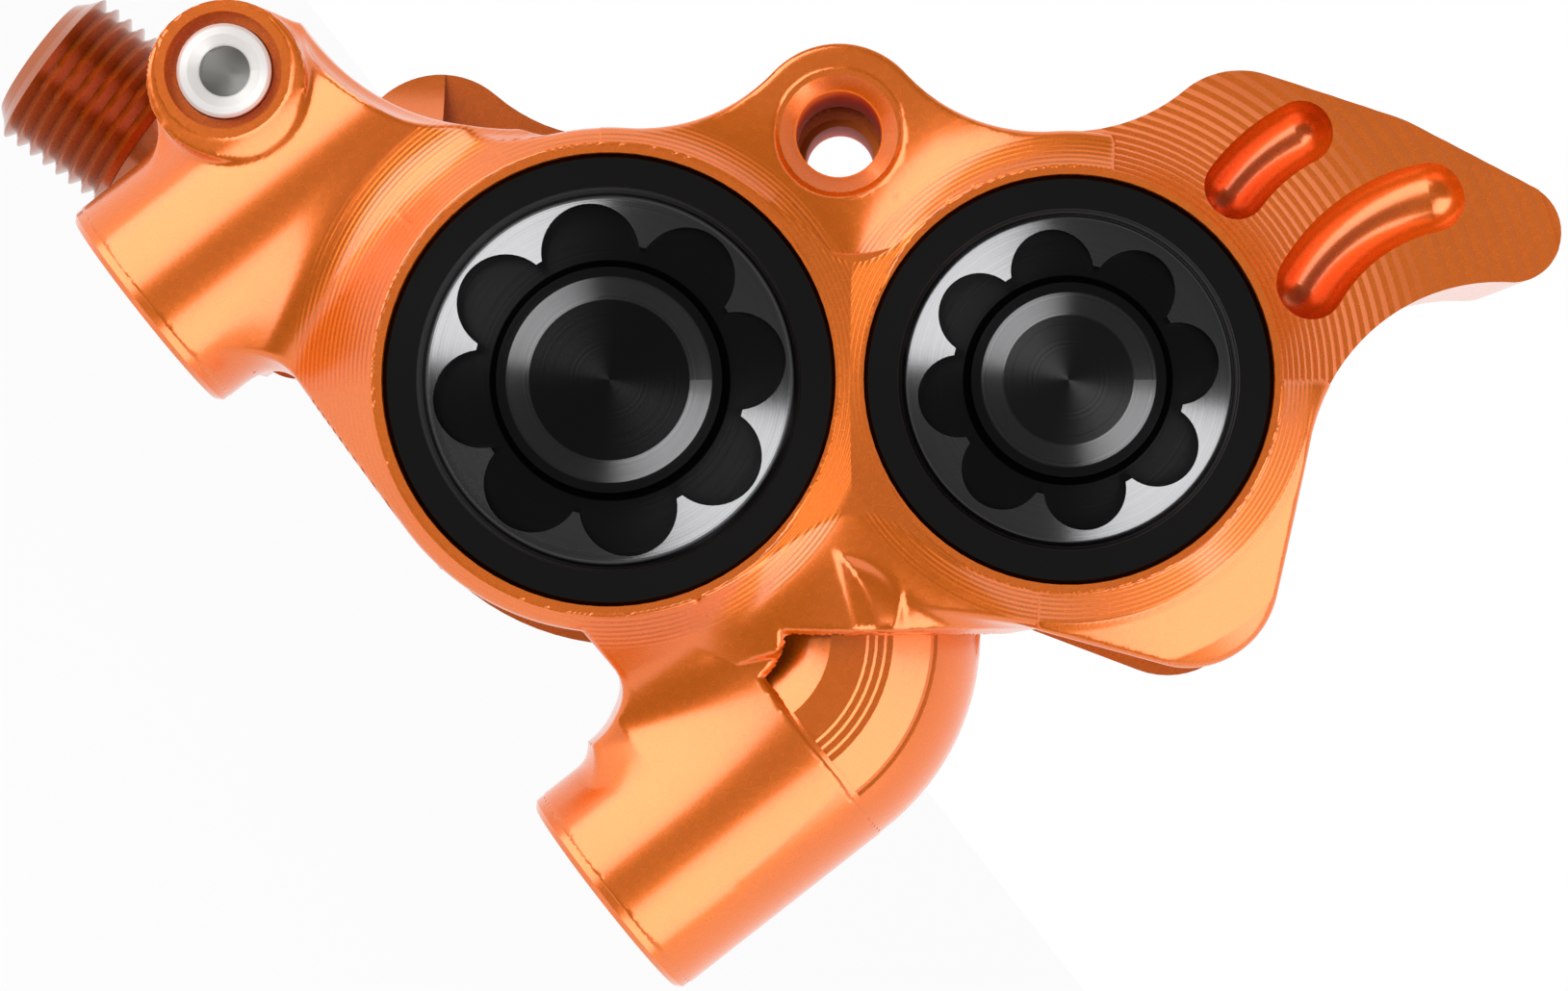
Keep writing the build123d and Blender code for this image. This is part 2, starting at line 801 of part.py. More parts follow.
    # Drilled fluid passages
    add(drilling(gallery_front, gallery_back, gallery_radius), mode=Mode.SUBTRACT)
    add(drilling(gallery_back, gallery_back - Vector(0, gallery_plug_length, 0), gallery_plug_radius),
        mode=Mode.SUBTRACT)
    add(drilling(hose_port_end, gallery_joint, feed_radius), mode=Mode.SUBTRACT)
    add(drilling(bleed_joint, gallery_front, feed_radius), mode=Mode.SUBTRACT)
    add(drilling(gallery_front, place(large_u, 0, outboard_feed), feed_radius), mode=Mode.SUBTRACT)
    add(drilling(gallery_turn, inboard_feed_end, feed_radius), mode=Mode.SUBTRACT)
    for station in (outboard_feed, inboard_feed):
        add(drilling(place(large_u, 0, station), place(small_u, 0, station), feed_radius),
            mode=Mode.SUBTRACT)


# Caps screwed into the outboard bores
cap_sizes = (
    (large_centre, large_cap_radius, large_star_radius,
     large_lobe_radius, large_lobe_reach, large_boss_radius),
    (small_centre, small_cap_radius, small_star_radius,
     small_lobe_radius, small_lobe_reach, small_boss_radius),
)
caps = []
cap_seals = []
for centre, cap_radius, star_radius, cap_lobe_radius, cap_lobe_reach, centre_radius in cap_sizes:
    dish_radius = cap_radius - cap_flange_width
    dish_face = cap_face + cap_dish_depth
    band_outer = centre_radius - cap_crown_width
    band_inner = band_outer - cap_band_width
    groove_floor = cap_radius - 2 * cap_seal_section
    groove_front = cap_rear - 2 * cap_seal_section
    with BuildPart() as cap:
        add(turned(centre, [
            (0, cap_face + cap_band_depth),
            (band_inner, cap_face + cap_band_depth),
            (band_outer, cap_face),
            (centre_radius, cap_face),
            (centre_radius + cap_dish_depth, dish_face),
            (dish_radius - cap_dish_depth, dish_face),
            (dish_radius, cap_face),
            (cap_radius - cap_edge_break, cap_face),
            (cap_radius, cap_face + cap_edge_break),
            (cap_radius, groove_front),
            (groove_floor, groove_front),
            (groove_floor, cap_rear),
            (0, cap_rear),
        ]))
        with BuildSketch(at_station(cap_face + cap_star_depth)):
            with Locations(centre):
                Circle(star_radius)
                with Locations(Rotation(0, 0, cap_lobe_turn)):
                    with PolarLocations(cap_lobe_reach - cap_lobe_radius, cap_lobe_count):
                        Circle(cap_lobe_radius)
                Circle(centre_radius, mode=Mode.SUBTRACT)
        extrude(amount=cap_star_depth + overrun, mode=Mode.SUBTRACT)
    caps.append(cap.part)
    with BuildPart() as ring:
        with Locations(Location(at_station(cap_rear - cap_seal_section) * Pos(centre[0], centre[1], 0))):
            Torus(cap_radius + cap_clearance - cap_seal_section, cap_seal_section)
    cap_seals.append(ring.part)
with BuildPart() as large_bore_cap:
    add(caps[0])
with BuildPart() as small_bore_cap:
    add(caps[1])
with BuildPart() as large_cap_seal:
    add(cap_seals[0])
with BuildPart() as small_cap_seal:
    add(cap_seals[1])


def piston(centre, radius, face, way):
    """A cup piston whose open end meets the pad, its closed end towards the fluid."""
    rear = face - way * piston_length
    return turned(centre, [
        (0, rear),
        (radius - piston_edge_break, rear),
        (radius, rear + way * piston_edge_break),
        (radius, face),
        (radius - piston_wall, face),
        (radius - piston_wall, rear + way * piston_floor),
        (0, rear + way * piston_floor),
    ])


def piston_seal(centre, radius, groove_rear):
    """The square-section ring that seals one piston."""
    inner = radius + seal_grip
    outer = radius + bore_clearance + seal_height
    return turned(centre, [
        (inner, groove_rear - seal_width),
        (outer, groove_rear - seal_width),
        (outer, groove_rear),
        (inner, groove_rear),
    ])


# Pistons, and the rings that seal them
inboard_pad_back = 2 * rotor_plane - pad_back
with BuildPart() as outboard_large_piston:
    add(piston(large_centre, large_piston_radius, pad_back, 1))
with BuildPart() as outboard_small_piston:
    add(piston(small_centre, small_piston_radius, pad_back, 1))
with BuildPart() as inboard_large_piston:
    add(piston(large_centre, large_piston_radius, inboard_pad_back, -1))
with BuildPart() as inboard_small_piston:
    add(piston(small_centre, small_piston_radius, inboard_pad_back, -1))
with BuildPart() as outboard_large_piston_seal:
    add(piston_seal(large_centre, large_piston_radius, outboard_groove_rear))
with BuildPart() as outboard_small_piston_seal:
    add(piston_seal(small_centre, small_piston_radius, outboard_groove_rear))
with BuildPart() as inboard_large_piston_seal:
    add(piston_seal(large_centre, large_piston_radius, inboard_groove_rear))
with BuildPart() as inboard_small_piston_seal:
    add(piston_seal(small_centre, small_piston_radius, inboard_groove_rear))

# Pads: a steel plate with its pin eye, and the lining bonded to it
pad_width = cavity_right - cavity_left - 2 * pad_end_clearance
pad_middle = (cavity_left + cavity_right) / 2
with BuildSketch() as plate_outline:
    with BuildSketch(mode=Mode.PRIVATE) as block:
        with Locations((pad_middle, pad_height / 2 - pad_drop)):
            Rectangle(pad_width, pad_height)
        with Locations(rotor_centre):
            Circle(rotor_centre_drop + pad_height - pad_drop, mode=Mode.INTERSECT)
            Circle(rotor_centre_drop - pad_drop, mode=Mode.SUBTRACT)
        fillet(block.vertices(), radius=pad_corner)
    add(block.sketch)
    with BuildSketch(mode=Mode.PRIVATE) as eye:
        with Locations((0, pin_ear_height / 2)):
            Rectangle(pad_neck_width, pin_ear_height)
        with Locations(pin_centre):
            Circle(pad_eye_radius)
    add(eye.sketch)
    with Locations(pin_centre):
        Circle(pin_bore_radius + pad_eye_play, mode=Mode.SUBTRACT)
with BuildSketch() as lining_outline:
    with Locations((pad_middle, 0)):
        Rectangle(pad_width - 2 * lining_margin, 2 * pad_height)
    with Locations(rotor_centre):
        Circle(rotor_centre_drop + pad_height - pad_drop - lining_margin, mode=Mode.INTERSECT)
        Circle(rotor_centre_drop - pad_drop + lining_margin, mode=Mode.SUBTRACT)
    fillet(lining_outline.vertices(), radius=pad_corner - lining_margin)
with BuildPart() as outboard_pad_plate:
    with BuildSketch(at_station(lining_back)):
        add(plate_outline.sketch)
    extrude(amount=pad_plate_thickness)
with BuildPart() as inboard_pad_plate:
    with BuildSketch(at_station(inboard_pad_back)):
        add(plate_outline.sketch)
    extrude(amount=pad_plate_thickness)
with BuildPart() as outboard_pad_lining:
    with BuildSketch(at_station(lining_back + pad_lining_thickness)):
        add(lining_outline.sketch)
    extrude(amount=pad_lining_thickness)
    with BuildSketch(at_station(lining_back + pad_lining_thickness)):
        with Locations((pad_middle, 0)):
            Rectangle(lining_slot_width, 2 * pad_height)
    extrude(amount=lining_slot_depth, mode=Mode.SUBTRACT)
with BuildPart() as inboard_pad_lining:
    with BuildSketch(at_station(inboard_pad_back - pad_plate_thickness)):
        add(lining_outline.sketch)
    extrude(amount=pad_lining_thickness)
    with BuildSketch(at_station(2 * rotor_plane - lining_back - pad_lining_thickness + lining_slot_depth)):
        with Locations((pad_middle, 0)):
            Rectangle(lining_slot_width, 2 * pad_height)
    extrude(amount=lining_slot_depth, mode=Mode.SUBTRACT)

# Bleed screw with a groove for its ring
screw_rear = bleed_screw_front + bleed_screw_length
groove_front = bleed_screw_front + bleed_groove_setback
groove_floor = bleed_screw_radius - bleed_seal_section
with BuildPart() as bleed_screw:
    add(turned(bleed_centre, [
        (0, bleed_screw_front + bleed_recess_depth),
        (bleed_recess_radius - bleed_recess_depth, bleed_screw_front + bleed_recess_depth),
        (bleed_recess_radius, bleed_screw_front),
        (bleed_screw_radius - bleed_edge_break, bleed_screw_front),
        (bleed_screw_radius, bleed_screw_front + bleed_edge_break),
        (bleed_screw_radius, groove_front),
        (groove_floor, groove_front),
        (groove_floor, groove_front + bleed_seal_section),
        (bleed_screw_radius, groove_front + bleed_seal_section),
        (bleed_screw_radius, bleed_cone_station),
        (bleed_tip_radius, screw_rear),
        (0, screw_rear),
    ]))
    with BuildSketch(at_station(bleed_screw_front + bleed_recess_depth + bleed_hex_depth)):
        with Locations(bleed_centre):
            RegularPolygon(bleed_hex_across / 2, 6, major_radius=False, rotation=bleed_hex_turn)
    extrude(amount=bleed_hex_depth, mode=Mode.SUBTRACT)
with BuildPart() as bleed_screw_seal:
    add(turned(bleed_centre, [
        (groove_floor + seal_grip, groove_front + seal_grip),
        (bleed_bore_radius - seal_grip, groove_front + seal_grip),
        (bleed_bore_radius - seal_grip, groove_front + bleed_seal_section - seal_grip),
        (groove_floor + seal_grip, groove_front + bleed_seal_section - seal_grip),
    ]))

# Threaded hose stub, its shank in the port
thread_start = hose_neck_length
thread_root = hose_thread_radius - hose_thread_depth
ridge = []
for crest in range(hose_thread_crests):
    foot = thread_start + crest * hose_thread_pitch
    ridge.append((thread_root, foot))
    ridge.append((hose_thread_radius, foot + hose_thread_pitch / 2))
hose_end = thread_start + hose_thread_crests * hose_thread_pitch + hose_end_chamfer
with BuildPart() as hose_fitting:
    hose_section = Plane(origin=hose_seat.origin, x_dir=(0, 1, 0), z_dir=hose_seat.x_dir.cross(hose_way))
    with BuildSketch(hose_section):
        with BuildLine():
            Polyline(
                (hose_oil_radius, hose_tip_gap - hose_port_depth),
                (hose_port_radius, hose_tip_gap - hose_port_depth),
                (hose_port_radius, 0),
                (hose_neck_radius, 0),
                (hose_neck_radius, thread_start),
                *ridge,
                (thread_root, hose_end - hose_end_chamfer),
                (hose_end_radius, hose_end),
                (hose_bore_radius, hose_end),
                (hose_bore_radius, hose_end - hose_bore_depth),
                (hose_oil_radius, hose_end - hose_bore_depth),
                close=True,
            )
        make_face()
    revolve(axis=Axis(hose_seat.origin, hose_way))
with BuildPart() as hose_fitting_seal:
    with Locations(hose_seat.offset(-hose_seal_section / 2).location):
        Torus(hose_port_radius + hose_seal_section / 2, hose_seal_section / 2)
with BuildPart() as gallery_plug:
    add(drilling(gallery_back, gallery_back - Vector(0, gallery_plug_length, 0), gallery_plug_radius))

# One file for each piece
os.makedirs("parts", exist_ok=True)
caliper_body.part.label = "caliper_body"
export_step(caliper_body.part, "parts/caliper_body.step")
large_bore_cap.part.label = "large_bore_cap"
export_step(large_bore_cap.part, "parts/large_bore_cap.step")
small_bore_cap.part.label = "small_bore_cap"
export_step(small_bore_cap.part, "parts/small_bore_cap.step")
large_cap_seal.part.label = "large_cap_seal"
export_step(large_cap_seal.part, "parts/large_cap_seal.step")
small_cap_seal.part.label = "small_cap_seal"
export_step(small_cap_seal.part, "parts/small_cap_seal.step")
outboard_large_piston.part.label = "outboard_large_piston"
export_step(outboard_large_piston.part, "parts/outboard_large_piston.step")
outboard_small_piston.part.label = "outboard_small_piston"
export_step(outboard_small_piston.part, "parts/outboard_small_piston.step")
inboard_large_piston.part.label = "inboard_large_piston"
export_step(inboard_large_piston.part, "parts/inboard_large_piston.step")
inboard_small_piston.part.label = "inboard_small_piston"
export_step(inboard_small_piston.part, "parts/inboard_small_piston.step")
outboard_large_piston_seal.part.label = "outboard_large_piston_seal"
export_step(outboard_large_piston_seal.part, "parts/outboard_large_piston_seal.step")
outboard_small_piston_seal.part.label = "outboard_small_piston_seal"
export_step(outboard_small_piston_seal.part, "parts/outboard_small_piston_seal.step")
inboard_large_piston_seal.part.label = "inboard_large_piston_seal"
export_step(inboard_large_piston_seal.part, "parts/inboard_large_piston_seal.step")
inboard_small_piston_seal.part.label = "inboard_small_piston_seal"
export_step(inboard_small_piston_seal.part, "parts/inboard_small_piston_seal.step")
outboard_pad_plate.part.label = "outboard_pad_plate"
export_step(outboard_pad_plate.part, "parts/outboard_pad_plate.step")
inboard_pad_plate.part.label = "inboard_pad_plate"
export_step(inboard_pad_plate.part, "parts/inboard_pad_plate.step")
outboard_pad_lining.part.label = "outboard_pad_lining"
export_step(outboard_pad_lining.part, "parts/outboard_pad_lining.step")
inboard_pad_lining.part.label = "inboard_pad_lining"
export_step(inboard_pad_lining.part, "parts/inboard_pad_lining.step")
bleed_screw.part.label = "bleed_screw"
export_step(bleed_screw.part, "parts/bleed_screw.step")
bleed_screw_seal.part.label = "bleed_screw_seal"
export_step(bleed_screw_seal.part, "parts/bleed_screw_seal.step")
hose_fitting.part.label = "hose_fitting"
export_step(hose_fitting.part, "parts/hose_fitting.step")
hose_fitting_seal.part.label = "hose_fitting_seal"
export_step(hose_fitting_seal.part, "parts/hose_fitting_seal.step")
gallery_plug.part.label = "gallery_plug"
export_step(gallery_plug.part, "parts/gallery_plug.step")
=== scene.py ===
import math

import bpy
import numpy as np
from mathutils import Matrix, Vector


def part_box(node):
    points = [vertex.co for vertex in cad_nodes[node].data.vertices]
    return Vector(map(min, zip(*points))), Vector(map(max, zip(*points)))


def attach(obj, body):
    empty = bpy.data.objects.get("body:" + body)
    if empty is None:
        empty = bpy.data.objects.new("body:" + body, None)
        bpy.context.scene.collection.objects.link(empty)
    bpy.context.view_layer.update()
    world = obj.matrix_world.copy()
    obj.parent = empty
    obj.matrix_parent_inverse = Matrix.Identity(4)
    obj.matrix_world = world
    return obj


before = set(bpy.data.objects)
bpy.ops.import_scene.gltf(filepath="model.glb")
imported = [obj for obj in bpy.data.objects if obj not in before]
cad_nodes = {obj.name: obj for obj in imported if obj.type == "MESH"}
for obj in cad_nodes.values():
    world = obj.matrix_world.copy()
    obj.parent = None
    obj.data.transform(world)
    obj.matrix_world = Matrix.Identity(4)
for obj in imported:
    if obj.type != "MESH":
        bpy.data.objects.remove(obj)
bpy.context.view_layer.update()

# Directions and middle of the line through both bores, which leans by TILT
TILT = math.radians(51.87)
COS_TILT, SIN_TILT = math.cos(TILT), math.sin(TILT)
ALONG = Vector((COS_TILT, 0, SIN_TILT))
ACROSS = Vector((-SIN_TILT, 0, COS_TILT))
TOWARDS_CAMERA = Vector((0, -1, 0))
BORE_X, BORE_Z = 5.15, 22.8
BORE_MIDDLE = Vector((BORE_X / 1000, 0, BORE_Z / 1000))


def on_bore_line(x, z):
    """Millimetres along and across the bores' line."""
    u = (x - BORE_X) * COS_TILT + (z - BORE_Z) * SIN_TILT
    v = (z - BORE_Z) * COS_TILT - (x - BORE_X) * SIN_TILT
    return u, v


def bore_point(u, v):
    """The point in metres at u and v millimetres along and across the bores' line."""
    return BORE_MIDDLE + ALONG * (u / 1000) + ACROSS * (v / 1000)


# Places in millimetres along and across the bores' line
LARGE = (-10.25, 0.0)
SMALL = (10.25, 0.0)
PIN = (0.0, 11.05)
LOBE = (15.7, -8.9)
TIP = (30.45, 6.8)
BEND_END = on_bore_line(14.781, 16.562)

# Places in millimetres along X and Z
BLEED = (-22.9, 9.67)
BLEED_EAR = (-22.5, 9.52)
EAR = on_bore_line(*BLEED_EAR)
BEND = (11.2, 12.0)
BOSS_X = 17.0

# Radii in millimetres: seats of the caps, rims where the slopes start, skirts of the outline, ears and bosses
LARGE_SEAT, SMALL_SEAT = 10.14, 9.17
LARGE_RIM, SMALL_RIM = 10.52, 9.49
LARGE_SKIRT, SMALL_SKIRT = 11.25, 11.1
PIN_EAR_RADIUS = 4.0
BLEED_EAR_RADIUS = 3.54
LOBE_RADIUS = 3.95
TIP_RADIUS = 2.3
BOSS_RADIUS = 5.4
BEND_RADIUS = 5.8

# Stations in millimetres along Y: the rings' faces, and the level between the forms
FRONT = -7.3
SHOULDER = -1.2

LARGE_CENTRE = bore_point(*LARGE)
SMALL_CENTRE = bore_point(*SMALL)
PIN_CENTRE = bore_point(*PIN)
BLEED_CENTRE = Vector((BLEED[0] / 1000, 0, BLEED[1] / 1000))


# Materials
def new_material(name):
    material = bpy.data.materials.new(name)
    material.use_nodes = True
    return material, material.node_tree.nodes, material.node_tree.links


def add_node(nodes, kind, values=(), **settings):
    """A new node with its settings, and with values on its inputs."""
    node = nodes.new(kind)
    for key, value in settings.items():
        setattr(node, key, value)
    for key, value in dict(values).items():
        node.inputs[key].default_value = value
    return node


def math_node(nodes, operation, values=(), **settings):
    return add_node(nodes, "ShaderNodeMath", values, operation=operation, **settings)


def vector_node(nodes, operation, values=()):
    return add_node(nodes, "ShaderNodeVectorMath", values, operation=operation)


def ramp_node(nodes, stops):
    """A colour ramp through (position, colour) stops, where a single number is a grey."""
    ramp = nodes.new("ShaderNodeValToRGB")
    elements = ramp.color_ramp.elements
    while len(elements) < len(stops):
        elements.new(0.5)
    for element, (position, colour) in zip(elements, stops):
        red, green, blue = colour if isinstance(colour, tuple) else (colour,) * 3
        element.position = position
        element.color = (red, green, blue, 1)
    return ramp


def radius_from(nodes, links, centre):
    """Distance in metres from a line along Y through centre, as a socket."""
    place = nodes.new("ShaderNodeTexCoord")
    offset = vector_node(nodes, "SUBTRACT", {1: centre})
    flat = vector_node(nodes, "MULTIPLY", {1: (1, 0, 1)})
    size = vector_node(nodes, "LENGTH")
    links.new(place.outputs["Object"], offset.inputs[0])
    links.new(offset.outputs[0], flat.inputs[0])
    links.new(flat.outputs[0], size.inputs[0])
    return size.outputs["Value"]


def grainy(nodes, links, scale, detail, smoothest, roughest):
    """Fine noise and the roughness it gives, as two sockets."""
    place = nodes.new("ShaderNodeTexCoord")
    grain = add_node(nodes, "ShaderNodeTexNoise", {"Scale": scale, "Detail": detail})
    rough = add_node(nodes, "ShaderNodeMapRange", {"To Min": smoothest, "To Max": roughest})
    links.new(place.outputs["Object"], grain.inputs["Vector"])
    links.new(grain.outputs["Fac"], rough.inputs["Value"])
    return grain.outputs["Fac"], rough.outputs["Result"]


def bumped(nodes, links, height, strength, distance, under=None, invert=False):
    """The normal of a bump, as a socket, over another bump's normal if one is given."""
    bump = add_node(nodes, "ShaderNodeBump", {"Strength": strength, "Distance": distance}, invert=invert)
    links.new(height, bump.inputs["Height"])
    if under is not None:
        links.new(under, bump.inputs["Normal"])
    return bump.outputs["Normal"]


RIDGE_PITCH = 0.00021


def ridge_height(nodes, links, reach):
    """Waves round both rings out to a reach, as a cutter leaves them on the slopes."""
    nearest = math_node(nodes, "MINIMUM")
    for place, (centre, rim) in enumerate(((LARGE_CENTRE, LARGE_RIM), (SMALL_CENTRE, SMALL_RIM))):
        beyond = math_node(nodes, "SUBTRACT", {1: rim / 1000})
        links.new(radius_from(nodes, links, centre), beyond.inputs[0])
        links.new(beyond.outputs[0], nearest.inputs[place])
    turns = math_node(nodes, "MULTIPLY", {1: 2 * math.pi / RIDGE_PITCH})
    wave = math_node(nodes, "SINE")
    fade_values = {"From Min": reach - 0.0004, "From Max": reach + 0.0001, "To Min": 1.0, "To Max": 0.0}
    fade = add_node(nodes, "ShaderNodeMapRange", fade_values)
    height = math_node(nodes, "MULTIPLY")
    links.new(nearest.outputs[0], turns.inputs[0])
    links.new(turns.outputs[0], wave.inputs[0])
    links.new(nearest.outputs[0], fade.inputs["Value"])
    links.new(wave.outputs[0], height.inputs[0])
    links.new(fade.outputs["Result"], height.inputs[1])
    return height.outputs[0]


PIN_BORE_START, PIN_BORE_END = 0.00197, 0.00203


def anodised_orange(name, ridge_reach=None, painted_shade_share=1.0):
    """Anodised aluminium, rough and dull on the drilled wall of the pin's bore, with ridges if asked, and
    with its colour scaled down by a share as painted shade.
    """
    material, nodes, links = new_material(name)
    surface = nodes["Principled BSDF"]
    surface.inputs["Coat Roughness"].default_value = 0.16
    surface.inputs["Coat IOR"].default_value = 1.7
    drilled_values = {"From Min": PIN_BORE_START, "From Max": PIN_BORE_END, "To Max": 0.56}
    drilled = add_node(nodes, "ShaderNodeMapRange", drilled_values)
    clear = math_node(nodes, "MULTIPLY", {1: 1.25})
    links.new(radius_from(nodes, links, PIN_CENTRE), drilled.inputs["Value"])
    links.new(drilled.outputs["Result"], surface.inputs["Metallic"])
    links.new(drilled.outputs["Result"], clear.inputs[0])
    links.new(clear.outputs[0], surface.inputs["Coat Weight"])

    place = nodes.new("ShaderNodeTexCoord")
    cloud = add_node(nodes, "ShaderNodeTexNoise", {"Scale": 140.0, "Detail": 4.0})
    # The colour is scaled by the share: below 1 this is painted shade, a darker copy of the same orange
    tint = ramp_node(nodes, (
        (0.35, (0.86 * painted_shade_share, 0.165 * painted_shade_share, 0.004)),
        (0.68, (0.9 * painted_shade_share, 0.18 * painted_shade_share, 0.005)),
    ))
    links.new(place.outputs["Object"], cloud.inputs["Vector"])
    links.new(cloud.outputs["Fac"], tint.inputs["Fac"])
    links.new(tint.outputs["Color"], surface.inputs["Base Color"])

    grain, rough = grainy(nodes, links, 2600.0, 2.0, 0.22, 0.32)
    dull = math_node(nodes, "MULTIPLY_ADD", {1: -1.2, 2: 0.6})
    wall = math_node(nodes, "MAXIMUM")
    links.new(drilled.outputs["Result"], dull.inputs[0])
    links.new(rough, wall.inputs[0])
    links.new(dull.outputs[0], wall.inputs[1])
    links.new(wall.outputs[0], surface.inputs["Roughness"])

    ridges = None
    if ridge_reach:
        ridges = bumped(nodes, links, ridge_height(nodes, links, ridge_reach), 0.6, 0.000014)
    links.new(bumped(nodes, links, grain, 0.25, 0.00001, ridges), surface.inputs["Normal"])
    return material


BAND_EDGE = 0.00002


def turned_face(name, centre, tint, metallic, bands, slope, shade_station, shade_level):
    """A face turned on a lathe: bands by radius, fine rings, the crossed sheen they give, and painted shade
    in its hollows.

    A band is its outer radius, its level and its roughness. The slope is the radii between which the face
    leans, and by how much. Behind a given station the colour falls to a share of its level: painted shade in
    the hollows.
    """
    material, nodes, links = new_material(name)
    surface = nodes["Principled BSDF"]
    surface.inputs["Metallic"].default_value = metallic
    surface.inputs["Anisotropic"].default_value = 0.85
    surface.inputs["Anisotropic Rotation"].default_value = 0.25
    surface.inputs["Specular IOR Level"].default_value = 0.3
    tangent = add_node(nodes, "ShaderNodeTangent", direction_type="RADIAL", axis="Y")
    links.new(tangent.outputs["Tangent"], surface.inputs["Tangent"])

    radius = radius_from(nodes, links, centre)
    outer = bands[-1][0]
    outward = add_node(nodes, "ShaderNodeMapRange", {"From Max": outer})
    links.new(radius, outward.inputs["Value"])
    levels = []
    roughs = []
    start = 0.0
    for end, level, rough in bands:
        for edge in (start + BAND_EDGE, end - BAND_EDGE):
            levels.append((edge / outer, level))
            roughs.append((edge / outer, rough))
        start = end
    level_ramp = ramp_node(nodes, levels)
    rough_ramp = ramp_node(nodes, roughs)
    links.new(outward.outputs["Result"], level_ramp.inputs["Fac"])
    links.new(outward.outputs["Result"], rough_ramp.inputs["Fac"])

    place = nodes.new("ShaderNodeTexCoord")
    split = nodes.new("ShaderNodeSeparateXYZ")
    # Painted shade: behind the station the base colour is darkened to a share of its level, standing in for
    # the shade in the hollows
    face_values = {"From Min": shade_station, "From Max": shade_station + 0.0001, "To Min": 1.0, "To Max": 0.0}
    face = add_node(nodes, "ShaderNodeMapRange", face_values)
    hollow = math_node(nodes, "MULTIPLY_ADD", {1: 1 - shade_level, 2: shade_level})
    shade = math_node(nodes, "MULTIPLY")
    colour = vector_node(nodes, "SCALE", {0: tint})
    links.new(place.outputs["Object"], split.inputs[0])
    links.new(split.outputs["Y"], face.inputs["Value"])
    links.new(face.outputs["Result"], hollow.inputs[0])
    links.new(level_ramp.outputs["Color"], shade.inputs[0])
    links.new(hollow.outputs[0], shade.inputs[1])
    links.new(shade.outputs[0], colour.inputs["Scale"])
    links.new(colour.outputs[0], surface.inputs["Base Color"])

    rings = add_node(nodes, "ShaderNodeTexNoise", noise_dimensions="1D")
    rings.inputs["Scale"].default_value = 9000.0
    rings.inputs["Detail"].default_value = 3.0
    wear = add_node(nodes, "ShaderNodeMapRange", {"To Min": 0.75, "To Max": 1.3})
    polish = math_node(nodes, "MULTIPLY")
    links.new(radius, rings.inputs["W"])
    links.new(rings.outputs["Fac"], wear.inputs["Value"])
    links.new(rough_ramp.outputs["Color"], polish.inputs[0])
    links.new(wear.outputs["Result"], polish.inputs[1])
    links.new(polish.outputs[0], surface.inputs["Roughness"])

    lean_start, lean_end, lean_rise = slope
    lean = add_node(nodes, "ShaderNodeClamp", {"Min": lean_start, "Max": lean_end})
    rise = math_node(nodes, "MULTIPLY")
    links.new(radius, lean.inputs["Value"])
    links.new(lean.outputs[0], rise.inputs[0])
    links.new(face.outputs["Result"], rise.inputs[1])
    leaning = bumped(nodes, links, rise.outputs[0], 1.0, lean_rise, invert=True)
    normal = bumped(nodes, links, rings.outputs["Fac"], 0.3, 0.00001, leaning)
    links.new(normal, surface.inputs["Normal"])
    return material


def plain_metal(name, colour, roughness, grain_size):
    material, nodes, links = new_material(name)
    surface = nodes["Principled BSDF"]
    surface.inputs["Base Color"].default_value = colour + (1,)
    surface.inputs["Metallic"].default_value = 1.0
    grain, rough = grainy(nodes, links, 1.0 / grain_size, 5.0, roughness * 0.7, roughness * 1.5)
    links.new(rough, surface.inputs["Roughness"])
    links.new(bumped(nodes, links, grain, 0.3, 0.00003), surface.inputs["Normal"])
    return material


def friction_lining():
    material, nodes, links = new_material("friction_lining")
    surface = nodes["Principled BSDF"]
    surface.inputs["Roughness"].default_value = 0.85
    place = nodes.new("ShaderNodeTexCoord")
    flecks = add_node(nodes, "ShaderNodeTexVoronoi", {"Scale": 2600.0})
    tint = ramp_node(nodes, ((0.12, (0.32, 0.22, 0.13)), (0.3, (0.045, 0.04, 0.037))))
    links.new(place.outputs["Object"], flecks.inputs["Vector"])
    links.new(flecks.outputs["Distance"], tint.inputs["Fac"])
    links.new(tint.outputs["Color"], surface.inputs["Base Color"])
    links.new(bumped(nodes, links, flecks.outputs["Distance"], 0.5, 0.00006), surface.inputs["Normal"])
    return material


def seal_rubber():
    material, nodes, links = new_material("seal_rubber")
    surface = nodes["Principled BSDF"]
    surface.inputs["Base Color"].default_value = (0.018, 0.018, 0.019, 1)
    _, rough = grainy(nodes, links, 3000.0, 2.0, 0.45, 0.7)
    links.new(rough, surface.inputs["Roughness"])
    return material


def dress(names, material):
    for name in names:
        data = cad_nodes[name].data
        data.materials.clear()
        data.materials.append(material)


# Bands of the turned faces: outer radius in metres, level and roughness
LARGE_BANDS = (
    (0.0036, 0.03, 0.22),
    (0.0046, 0.12, 0.3),
    (0.0054, 0.03, 0.15),
    (0.0082, 0.24, 0.24),
    (0.0105, 0.045, 0.1),
)
SMALL_BANDS = (
    (0.0029, 0.045, 0.3),
    (0.0039, 0.12, 0.3),
    (0.0047, 0.03, 0.15),
    (0.00725, 0.24, 0.24),
    (0.0095, 0.045, 0.1),
)
SCREW_BANDS = ((0.003, 0.9, 0.35),)
CAP_TINT = (0.98, 0.98, 1.0)
SCREW_TINT = (1.0, 0.985, 0.96)
# Station behind which the caps' pockets get painted shade
CAP_SHADE_STATION = -0.0061

